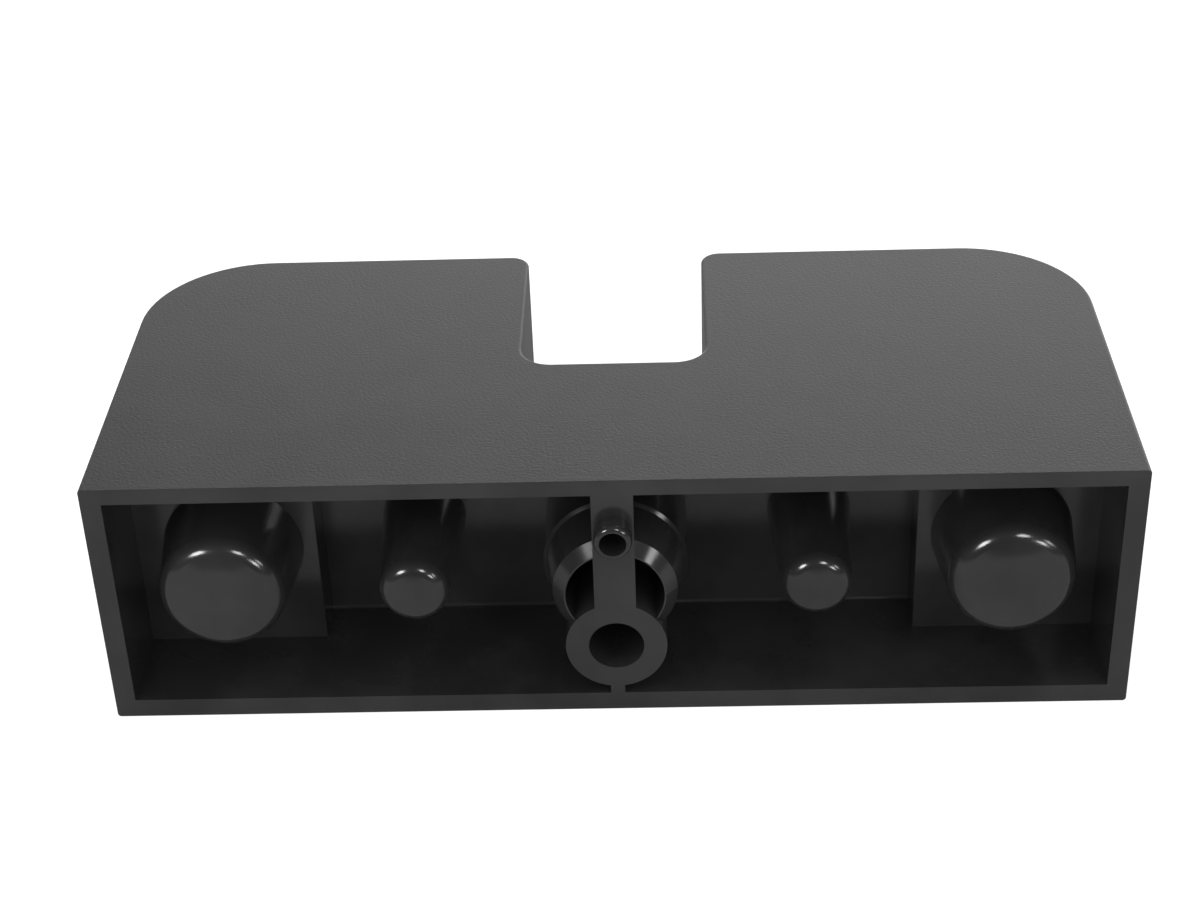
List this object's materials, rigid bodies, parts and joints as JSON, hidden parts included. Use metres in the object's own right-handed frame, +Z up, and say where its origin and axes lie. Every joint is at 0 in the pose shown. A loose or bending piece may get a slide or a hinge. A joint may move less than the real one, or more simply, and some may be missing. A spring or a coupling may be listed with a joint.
{
  "type": "fuse block housing",
  "caption": "Moulded plastic fuse block housing: an open-fronted box with round posts, a middle tube and a screw boss inside, and a U-shaped notch through its back edge.",
  "frame": {"origin": "middle of the underside, at the centre of the part's full width and depth", "axes": "+X along the block, +Y from the open front to the notched back edge, +Z up"},
  "size_m": [0.1, 0.0474, 0.027],
  "materials": {
    "moulding": "fine matte texture outside, smooth inside"
  },
  "bodies": {
    "root": {"housing": "moulding"}
  },
  "joints": []
}
